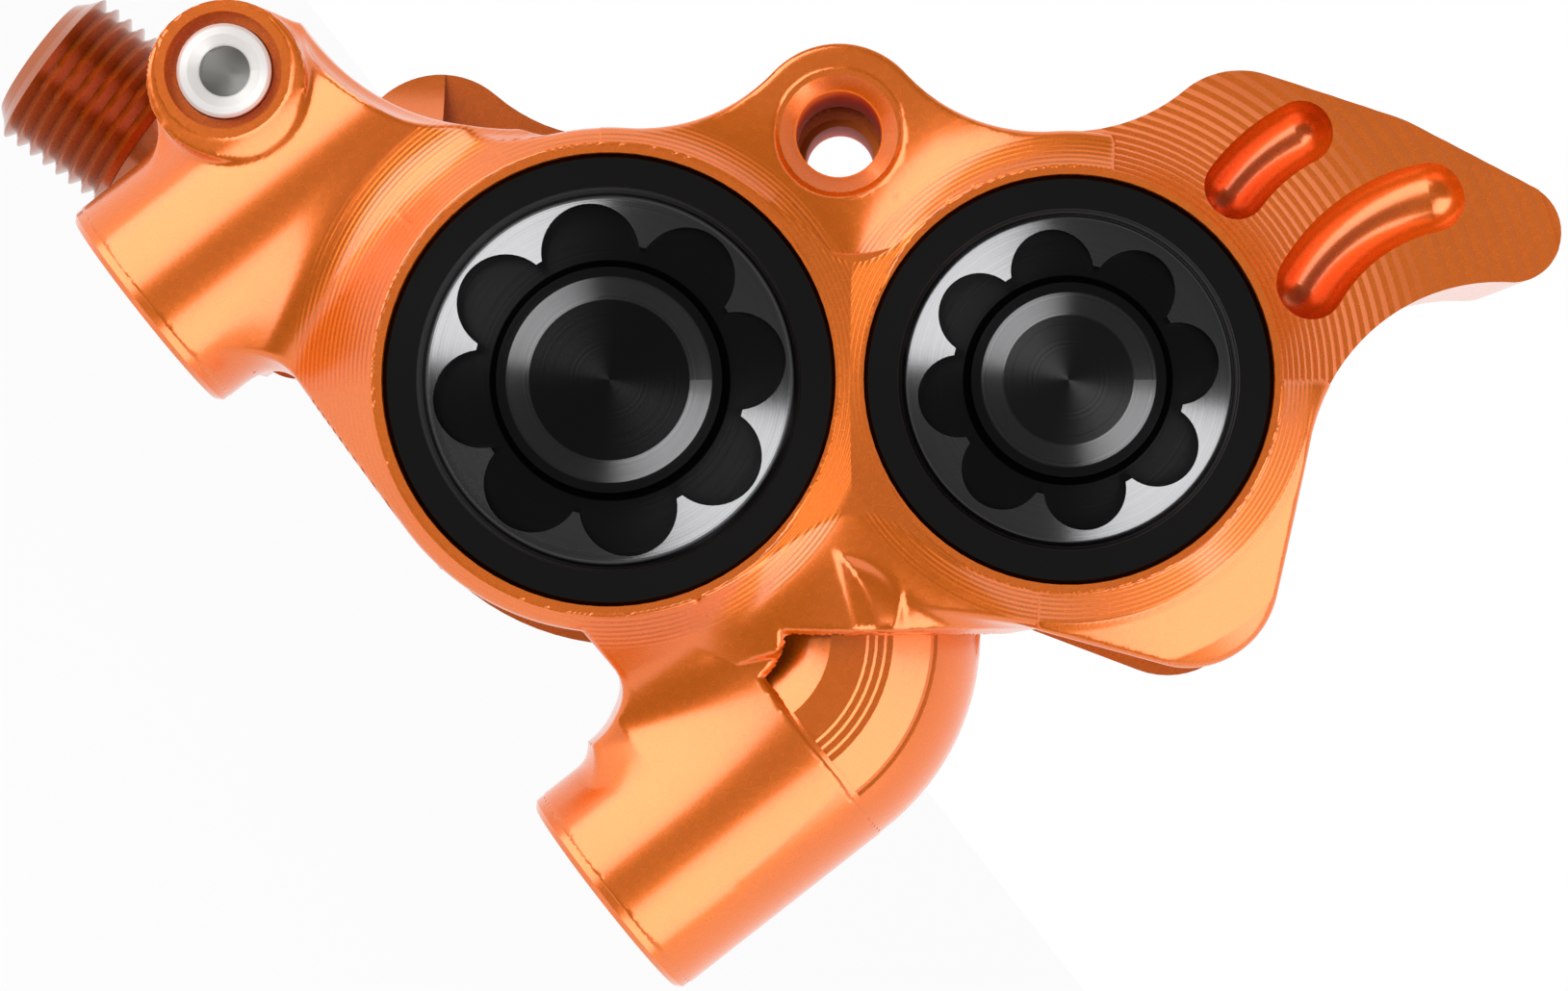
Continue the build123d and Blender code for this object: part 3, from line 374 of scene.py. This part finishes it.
orange = anodised_orange("anodised_orange")
ridged_orange = anodised_orange("anodised_orange_ridged", 0.0039)
ringed_orange = anodised_orange("anodised_orange_ringed", 0.0015)
dress(["caliper_body"], orange)
# Painted shade: the hose fitting gets a copy of the orange at half its level
dress(["hose_fitting"], anodised_orange("anodised_orange_painted_shade", None, 0.5))
for size, centre, bands, slope in (
    ("large", LARGE_CENTRE, LARGE_BANDS, (0.0055, 0.0081, 0.34)),
    ("small", SMALL_CENTRE, SMALL_BANDS, (0.0048, 0.0072, 0.34)),
):
    # Painted shade: the caps' pockets are darkened to 0.12 of their level
    black = turned_face(size + "_cap_black", centre, CAP_TINT, 1.0, bands, slope, CAP_SHADE_STATION, 0.12)
    dress([size + "_bore_cap"], black)
# Painted shade: the bleed screw's hex recess is darkened to 0.75 of its level
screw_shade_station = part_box("bleed_screw")[0][1] + 0.0004
level_slope = (0.0, 0.001, 0.0)
screw = turned_face(
    "screw_steel", BLEED_CENTRE, SCREW_TINT, 0.25, SCREW_BANDS, level_slope, screw_shade_station, 0.75
)
dress(["bleed_screw"], screw)
steel = plain_metal("piston_steel", (0.6, 0.6, 0.61), 0.22, 0.0004)
dress([name for name in cad_nodes if name.endswith("_piston")] + ["gallery_plug"], steel)
plate = plain_metal("plate_steel", (0.3, 0.3, 0.31), 0.42, 0.0006)
dress(["outboard_pad_plate", "inboard_pad_plate"], plate)
dress(["outboard_pad_lining", "inboard_pad_lining"], friction_lining())
dress([name for name in cad_nodes if name.endswith("_seal")], seal_rubber())

for node in cad_nodes.values():
    node.data.shade_smooth()
    node.data.set_sharp_from_angle(angle=math.radians(24))


# Blended surfaces that a ball-ended cutter leaves between the forms, as distance fields in millimetres
PROUD = 0.03
FACE_PROUD = 0.006
BORDER = 0.3
BORDER_DIVE = 0.35
EDGE = 0.25
FAR = 9.0
NET_STEP = 0.16
PROBE = 0.01
LARGEST_NUDGE = 0.1


def disc_field(u, v, centre, radius):
    return np.hypot(u - centre[0], v - centre[1]) - radius


def polygon_field(u, v, corners):
    """Distance from a convex outline whose corners run either way round."""
    middle = np.mean(np.array(corners), axis=0)
    field = None
    for start, end in zip(corners, corners[1:] + corners[:1]):
        way = np.array(end) - np.array(start)
        side = np.array((way[1], -way[0])) / np.hypot(*way)
        if np.dot(middle - np.array(start), side) > 0:
            side = -side
        edge = (u - start[0]) * side[0] + (v - start[1]) * side[1]
        field = edge if field is None else np.maximum(field, edge)
    return field


def touching_centre(first, second, radius):
    """Centre of the arc that touches two circles from outside, on the left of the way between them."""
    start, end = np.array(first[0]), np.array(second[0])
    way = end - start
    length = np.hypot(*way)
    reach = first[1] + radius
    forward = (reach ** 2 - (second[1] + radius) ** 2 + length ** 2) / (2 * length)
    rise = math.sqrt(reach ** 2 - forward ** 2)
    step = way / length
    return tuple(start + step * forward + np.array((-step[1], step[0])) * rise)


def fillet_field(u, v, first, second, radius):
    """The fill in the hollow between two circles, bounded by the arc that touches both."""
    centre = touching_centre(first, second, radius)
    return np.maximum(
        polygon_field(u, v, [first[0], second[0], centre]),
        radius - np.hypot(u - centre[0], v - centre[1]),
    )


def union(*fields):
    return np.minimum.reduce(fields)


def melt(first, second, size):
    """Union with a smooth hollow where the two forms meet."""
    near = np.maximum(size - np.abs(first - second), 0) / size
    return np.minimum(first, second) - near * near * size / 4


def ease(first, second, size):
    """Intersection with a rounded edge."""
    near = np.maximum(size - np.abs(first - second), 0) / size
    return np.maximum(first, second) + near * near * size / 4


def proud(base, y, margin):
    """A piece's surface: over the solid, under it along its own border, and level with the rings' faces."""
    lift = PROUD - BORDER_DIVE * (1 - np.clip(margin / BORDER, 0, 1))
    return np.maximum(base - lift, FRONT - FACE_PROUD - y)


def surface_net(field, low, high, step, keep):
    """A smooth mesh of the field's zero level inside a box, kept where keep is true."""
    axes = [np.arange(a, b + step, step) for a, b in zip(low, high)]
    x, y, z = np.meshgrid(*axes, indexing="ij")
    values = field(x, y, z)
    inside = values < 0
    shape = np.array(values.shape) - 1
    total = np.zeros(tuple(shape) + (3,))
    count = np.zeros(tuple(shape))
    corners = [(i, j, k) for i in (0, 1) for j in (0, 1) for k in (0, 1)]

    def part(array, corner):
        return array[
            corner[0]:corner[0] + shape[0],
            corner[1]:corner[1] + shape[1],
            corner[2]:corner[2] + shape[2],
        ]

    for start in corners:
        for axis in range(3):
            if start[axis]:
                continue
            end = list(start)
            end[axis] = 1
            first, second = part(values, start), part(values, end)
            crossed = part(inside, start) != part(inside, end)
            share = np.where(crossed, first / np.where(crossed, first - second, 1), 0)
            for k in range(3):
                total[..., k] += np.where(crossed, start[k] + (share if k == axis else 0), 0)
            count += crossed
    used = count > 0
    number = np.full(tuple(shape), -1)
    number[used] = np.arange(used.sum())
    index = np.argwhere(used)
    points = np.array(low) + step * (index + total[used] / count[used][:, None])
    for _ in range(3):
        here = field(*points.T)
        slope = np.stack([
            (field(*(points + probe).T) - field(*(points - probe).T)) / (2 * PROBE)
            for probe in PROBE * np.eye(3)
        ], axis=1)
        nudge = np.clip(here / np.maximum((slope ** 2).sum(1), 0.2), -LARGEST_NUDGE, LARGEST_NUDGE)
        points -= nudge[:, None] * slope
    faces = []
    for axis in range(3):
        b, c = (axis + 1) % 3, (axis + 2) % 3
        first = [slice(1, n) for n in shape]
        first[axis] = slice(0, shape[axis])
        second = list(first)
        second[axis] = slice(1, shape[axis] + 1)
        out = inside[tuple(first)] != inside[tuple(second)]
        places = np.argwhere(out)
        places[:, b] += 1
        places[:, c] += 1
        rising = inside[tuple(first)][out]
        quad = []
        for db, dc in ((-1, -1), (0, -1), (0, 0), (-1, 0)):
            cell = places.copy()
            cell[:, b] += db
            cell[:, c] += dc
            quad.append(number[cell[:, 0], cell[:, 1], cell[:, 2]])
        quad = np.stack(quad, axis=1)
        quad[~rising] = quad[~rising][:, ::-1]
        faces.append(quad)
    faces = np.concatenate(faces)
    faces = faces[(faces >= 0).all(axis=1)]
    good = keep(*points.T)
    faces = faces[good[faces].all(axis=1)]
    kept = np.unique(faces)
    renumber = np.full(len(points), -1)
    renumber[kept] = np.arange(len(kept))
    return points[kept], renumber[faces]


CONE_LEAN = (0.7234, 0.6905)


def large_flank(u, v, y):
    """The turned slope outside the large ring."""
    outward = disc_field(u, v, LARGE, LARGE_RIM)
    return np.maximum(outward * CONE_LEAN[0] - (y - FRONT) * CONE_LEAN[1], FRONT - y)


STEP_RISE = 0.22
FIRST_TREAD, TREAD_GROWTH, WIDEST_TREAD = 0.24, 1.06, 0.7
LAST_STEP_STATION = 2.0


def small_steps():
    """Radius and station of each step round the small ring, where the treads widen outwards."""
    radius, station, tread = SMALL_RIM, FRONT, FIRST_TREAD
    steps = [(radius, station)]
    while station < LAST_STEP_STATION:
        radius += tread
        station += STEP_RISE
        tread = min(tread * TREAD_GROWTH, WIDEST_TREAD)
        steps.append((radius, station))
    return np.array(steps)


STEP_RADII, STEP_STATIONS = small_steps().T
STEP_GRADES = np.gradient(STEP_STATIONS, STEP_RADII)


def small_flank(u, v, y):
    """The slope through the steps outside the small ring."""
    radius = np.hypot(u - SMALL[0], v - SMALL[1])
    station = np.interp(radius, STEP_RADII, STEP_STATIONS)
    grade = np.interp(radius, STEP_RADII, STEP_GRADES)
    return np.maximum((station - y) / np.hypot(1, grade), FRONT - y)


def flanks(u, v, y):
    """The slopes of both rings, run into each other beside the web."""
    return melt(large_flank(u, v, y), small_flank(u, v, y), 4.0)


def off_seats(u, v):
    """Room from the seats of both caps."""
    return union(disc_field(u, v, LARGE, LARGE_SEAT), disc_field(u, v, SMALL, SMALL_SEAT))


def outboard_outline(u, v):
    """The outboard half seen along the bores: both rings, the pin's ear and the bleed ear."""
    large, small = (LARGE, LARGE_SKIRT), (SMALL, SMALL_SKIRT)
    pin, ear = (PIN, PIN_EAR_RADIUS), (EAR, BLEED_EAR_RADIUS)
    return union(
        disc_field(u, v, *large),
        disc_field(u, v, *small),
        disc_field(u, v, *pin),
        disc_field(u, v, *ear),
        fillet_field(u, v, large, pin, 8.3),
        fillet_field(u, v, pin, small, 8.3),
        fillet_field(u, v, small, large, 4.0),
        fillet_field(u, v, ear, large, 12.0),
        polygon_field(u, v, [LARGE, SMALL, PIN]),
        polygon_field(u, v, [EAR, LARGE, on_bore_line(-1.179, 3.488), on_bore_line(-17.0, 3.738)]),
    )


def left_margin(x, y, z):
    """Room from the seats, the bleed screw's recess, the rear, the boss's foot and the pin's ear."""
    u, v = on_bore_line(x, z)
    return union(off_seats(u, v), disc_field(x, z, BLEED, 2.75), 5.2 - y, z - 0.3, -u - 7.0 + 0.35 * v)


def left_field(x, y, z):
    """The flank of the large ring, the left boss and the bleed ear, melted into one another."""
    u, v = on_bore_line(x, z)
    outline = outboard_outline(u, v)
    tube = np.hypot(x + BOSS_X, y) - BOSS_RADIUS
    crest = ease(np.maximum(tube, z - 18.0), outline, EDGE)
    boss = union(np.maximum(tube, z - 12.4), crest)
    ear = np.maximum(disc_field(x, z, BLEED_EAR, BLEED_EAR_RADIUS), -5.0 - y)
    flank = ease(melt(large_flank(u, v, y), SHOULDER - y, 3.0), outline, EDGE)
    return proud(melt(melt(flank, boss, 2.2), ear, 0.6), y, left_margin(x, y, z))


def round_bend(x, z):
    """Angle and distance from the axis that the right boss bends round."""
    return np.arctan2(z - BEND[1], x - BEND[0]), np.hypot(x - BEND[0], z - BEND[1])


NECK_SWELL, NECK_LENGTH = 0.8, 6.0


def elbow_tube(x, y, z):
    """The right boss: straight up, round the bend, and along the neck, which swells towards the bend."""
    u, v = on_bore_line(x, z)
    turn, reach = round_bend(x, z)
    lower = np.maximum(np.hypot(x - BOSS_X, y) - BOSS_RADIUS, z - BEND[1])
    middle = np.hypot(reach - BEND_RADIUS, y) - BOSS_RADIUS
    swell = NECK_SWELL * np.clip((BEND_END[1] + NECK_LENGTH - v) / NECK_LENGTH, 0, 1)
    upper = np.maximum(np.hypot(u - BEND_END[0], y) - BOSS_RADIUS - swell, BEND_END[1] - v)
    return union(lower, upper, np.where((turn > 0) & (turn < TILT), middle, FAR))


def off_mill(x, z):
    """Room from the milled front of the bend."""
    turn, reach = round_bend(x, z)
    return np.maximum.reduce((2.4 - reach, BEND[1] - z, (turn - TILT) * reach))


def elbow_margin(x, y, z):
    """Room from the seats, the milled front of the bend, the rear and the boss's foot."""
    u, v = on_bore_line(x, z)
    return union(off_seats(u, v), off_mill(x, z), 3.5 - y, z - 0.3)


def elbow_field(x, y, z):
    """The right boss and its bend, melted into both rings and the web beside it."""
    u, v = on_bore_line(x, z)
    web = polygon_field(x, z, [(-1.18, 6.9), (17.0, 6.9), (17.0, 12.0), (5.15, 22.8)])
    foot = np.maximum(
        polygon_field(x, z, [(9.0, 4.3), (14.2, 4.3), (14.2, 6.95), (9.0, 6.95)]),
        2.6 - np.hypot(x - 9.0, z - 4.3),
    )
    outline = union(outboard_outline(u, v), web, foot)
    base = ease(melt(flanks(u, v, y), SHOULDER - y, 2.4), outline, EDGE)
    hollow = np.interp(z, (0.5, 5.5), (0.4, 3.4))
    return proud(melt(base, elbow_tube(x, y, z), hollow), y, elbow_margin(x, y, z))


def pin_margin(x, y, z):
    """Room from the seats, the pin's bore, the rear, the web and both ends."""
    u, v = on_bore_line(x, z)
    return union(off_seats(u, v), disc_field(u, v, PIN, 2.62), 1.0 - y, v - 3.2, u + 11.0, 12.5 - u)


def pin_field(x, y, z):
    """The hollows round the pad pin's ear, run into both rings."""
    u, v = on_bore_line(x, z)
    base = ease(melt(flanks(u, v, y), -5.6 - y, 1.5), outboard_outline(u, v), EDGE)
    return proud(base, y, pin_margin(x, y, z))


# Radius from the small bore and station of the lobe's slope
LOBE_SLOPE = ((9.49, 10.85, 11.25, 13.35, 14.6), (-7.3, -6.24, -6.15, -5.2, -4.3))


def lobe_outline(u, v):
    """The small ring's skirt and the lobe under it, with the sides between, and the curve up to the tip."""
    way = np.array(LOBE) - np.array(SMALL)
    length = np.hypot(*way)
    step = way / length
    forward = (u - SMALL[0]) * step[0] + (v - SMALL[1]) * step[1]
    aside = (v - SMALL[1]) * step[0] - (u - SMALL[0]) * step[1]
    lean = (SMALL_SKIRT - LOBE_RADIUS) / length
    side = np.abs(aside) * math.sqrt(1 - lean * lean) + forward * lean - SMALL_SKIRT
    between = (forward > SMALL_SKIRT * lean) & (forward < length + LOBE_RADIUS * lean)
    return union(
        disc_field(u, v, SMALL, SMALL_SKIRT),
        disc_field(u, v, LOBE, LOBE_RADIUS),
        np.where(between, side, FAR),
        fillet_field(u, v, (TIP, TIP_RADIUS), (SMALL, SMALL_SKIRT), 9.1),
    )


def lobe_margin(x, y, z):
    """Room from the small seat, the lobe's rear, the fins and the neck."""
    u, v = on_bore_line(x, z)
    return union(disc_field(u, v, SMALL, SMALL_SEAT), -2.7 - y, 0.4 * (0.5 - v), u - 8.6)


def lobe_field(x, y, z):
    """The flank below the small ring, run smoothly out to the lobe's edge and into the steps above."""
    u, v = on_bore_line(x, z)
    radius = np.hypot(u - SMALL[0], v - SMALL[1])
    smooth = np.clip((0.5 - v) / 4, 0, 1)
    stepped = np.interp(radius, STEP_RADII, STEP_STATIONS)
    station = np.interp(radius, *LOBE_SLOPE) * smooth + stepped * (1 - smooth)
    flank = np.maximum((station - y) * 0.85, FRONT - y)
    return proud(ease(flank, lobe_outline(u, v), EDGE), y, lobe_margin(x, y, z))


def cove(name, surface, margin, low, high, material, lift):
    """A piece on the caliper's body: a surface inside a box, where its margin has room."""
    def field(x, y, z):
        return surface(x, y, z) - lift

    points, faces = surface_net(field, low, high, NET_STEP, lambda x, y, z: margin(x, y, z) > 0)
    first, second, third = (points[faces[:, k]] for k in range(3))
    normal = np.cross(second - first, third - first)
    length = np.maximum(np.linalg.norm(normal, axis=1), 1e-9)
    middle = (first + third) / 2
    ahead = middle + 0.02 * normal / length[:, None]
    outwards = field(*ahead.T) > field(*middle.T)
    if outwards.mean() < 0.5:
        faces = faces[:, ::-1]
    data = bpy.data.meshes.new(name)
    data.from_pydata((points / 1000).tolist(), [], faces.tolist())
    data.shade_smooth()
    data.set_sharp_from_angle(angle=math.radians(50))
    data.materials.append(material)
    piece = bpy.data.objects.new(name, data)
    bpy.context.scene.collection.objects.link(piece)
    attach(piece, "caliper")


# Where two coves overlap, the later one lies a layer higher
LAYER = 0.006
COVES = (
    ("left_cove", left_field, left_margin, (-27.5, -7.6, 0.5), (-1.0, 5.4, 33.0), ridged_orange),
    ("elbow_cove", elbow_field, elbow_margin, (-3.0, -7.6, 0.0), (23.0, 3.8, 26.0), ringed_orange),
    ("pin_cove", pin_field, pin_margin, (-16.0, -7.6, 20.0), (12.0, 1.2, 46.0), ringed_orange),
    ("lobe_cove", lobe_field, lobe_margin, (8.0, -7.6, 12.0), (28.0, -2.4, 46.0), ringed_orange),
)
for place, description in enumerate(COVES):
    cove(*description, place * LAYER)


# Camera at the photograph's place, rolled so that the bores' line is level
def look_from(place, target, right):
    forward = (target - place).normalized()
    side = (right - forward * right.dot(forward)).normalized()
    up = side.cross(forward)
    turn = Matrix((side, up, -forward)).transposed()
    return Matrix.Translation(place) @ turn.to_4x4()


CAMERA_PLACE = Vector((0.01116, -0.307, 0.01903))
CAMERA_TARGET = Vector((0.00763, 0, 0.01766))
camera_data = bpy.data.cameras.new("camera")
camera_data.lens = 154.7
camera_data.sensor_width = 36.0
camera_data.clip_start = 0.01
camera = bpy.data.objects.new("camera", camera_data)
bpy.context.scene.collection.objects.link(camera)
camera.matrix_world = look_from(CAMERA_PLACE, CAMERA_TARGET, ALONG)
bpy.context.scene.camera = camera


# Studio: a white surround that is dimmer behind the camera, and soft lamps at two corners
def studio_lamp(name, right, up, power):
    data = bpy.data.lights.new(name, "AREA")
    data.shape = "RECTANGLE"
    data.size = 0.46
    data.size_y = 0.46
    data.energy = power
    lamp = bpy.data.objects.new(name, data)
    bpy.context.scene.collection.objects.link(lamp)
    place = BORE_MIDDLE + ALONG * right + ACROSS * up + TOWARDS_CAMERA * 0.33
    lamp.matrix_world = look_from(place, BORE_MIDDLE, ACROSS)


# Levels of the surround from straight behind the camera (0) to straight ahead of it (1)
SURROUND_LEVELS = ((0.0, 0.22), (0.02, 0.22), (0.045, 0.1), (0.25, 0.1), (0.37, 0.35), (0.46, 1.0))
world = bpy.data.worlds.new("studio")
bpy.context.scene.world = world
world.use_nodes = True
world_nodes = world.node_tree.nodes
world_links = world.node_tree.links
backdrop = world_nodes["Background"]
backdrop.inputs["Color"].default_value = (1, 1, 1, 1)
direction = world_nodes.new("ShaderNodeTexCoord")
direction_split = world_nodes.new("ShaderNodeSeparateXYZ")
ahead_share = add_node(world_nodes, "ShaderNodeMapRange", {"From Min": -1.0, "From Max": 1.0})
surround = ramp_node(world_nodes, SURROUND_LEVELS)
world_path = world_nodes.new("ShaderNodeLightPath")
world_level = add_node(world_nodes, "ShaderNodeMix", {"B": 1.0}, data_type="FLOAT")
world_links.new(direction.outputs["Generated"], direction_split.inputs[0])
world_links.new(direction_split.outputs["Y"], ahead_share.inputs["Value"])
world_links.new(ahead_share.outputs["Result"], surround.inputs["Fac"])
world_links.new(world_path.outputs["Is Camera Ray"], world_level.inputs["Factor"])
world_links.new(surround.outputs["Color"], world_level.inputs["A"])
world_links.new(world_level.outputs["Result"], backdrop.inputs["Strength"])

studio_lamp("lamp_upper_left", -0.27, 0.25, 2.1)
studio_lamp("lamp_lower_right", 0.27, -0.25, 2.0)

# Pale floor under and behind the part, which camera, glossy and transmission rays see near white
FLOOR_CORNERS = ((-1.5, -0.03, -0.03), (1.5, -0.03, -0.03), (1.5, 3.0, -0.03), (-1.5, 3.0, -0.03))
floor_data = bpy.data.meshes.new("studio_floor")
floor_data.from_pydata(FLOOR_CORNERS, [], [(0, 1, 2, 3)])
floor = bpy.data.objects.new("studio_floor", floor_data)
bpy.context.scene.collection.objects.link(floor)
floor_material, floor_nodes, floor_links = new_material("pale_floor")
floor_surface = floor_nodes["Principled BSDF"]
floor_surface.inputs["Base Color"].default_value = (0.95, 0.95, 0.95, 1)
floor_surface.inputs["Roughness"].default_value = 0.9
floor_glow = add_node(floor_nodes, "ShaderNodeEmission", {"Strength": 1.0})
floor_mix = floor_nodes.new("ShaderNodeMixShader")
floor_path = floor_nodes.new("ShaderNodeLightPath")
seen_or_mirrored = math_node(floor_nodes, "ADD", use_clamp=True)
seen_at_all = math_node(floor_nodes, "ADD", use_clamp=True)
glow_share = math_node(floor_nodes, "MULTIPLY", {1: 0.9})
floor_links.new(floor_path.outputs["Is Camera Ray"], seen_or_mirrored.inputs[0])
floor_links.new(floor_path.outputs["Is Glossy Ray"], seen_or_mirrored.inputs[1])
floor_links.new(seen_or_mirrored.outputs[0], seen_at_all.inputs[0])
floor_links.new(floor_path.outputs["Is Transmission Ray"], seen_at_all.inputs[1])
floor_links.new(seen_at_all.outputs[0], glow_share.inputs[0])
floor_links.new(glow_share.outputs[0], floor_mix.inputs["Fac"])
floor_links.new(floor_surface.outputs[0], floor_mix.inputs[1])
floor_links.new(floor_glow.outputs[0], floor_mix.inputs[2])
floor_links.new(floor_mix.outputs[0], floor_nodes["Material Output"].inputs["Surface"])
floor_data.materials.append(floor_material)

bpy.context.scene.view_settings.view_transform = "Standard"
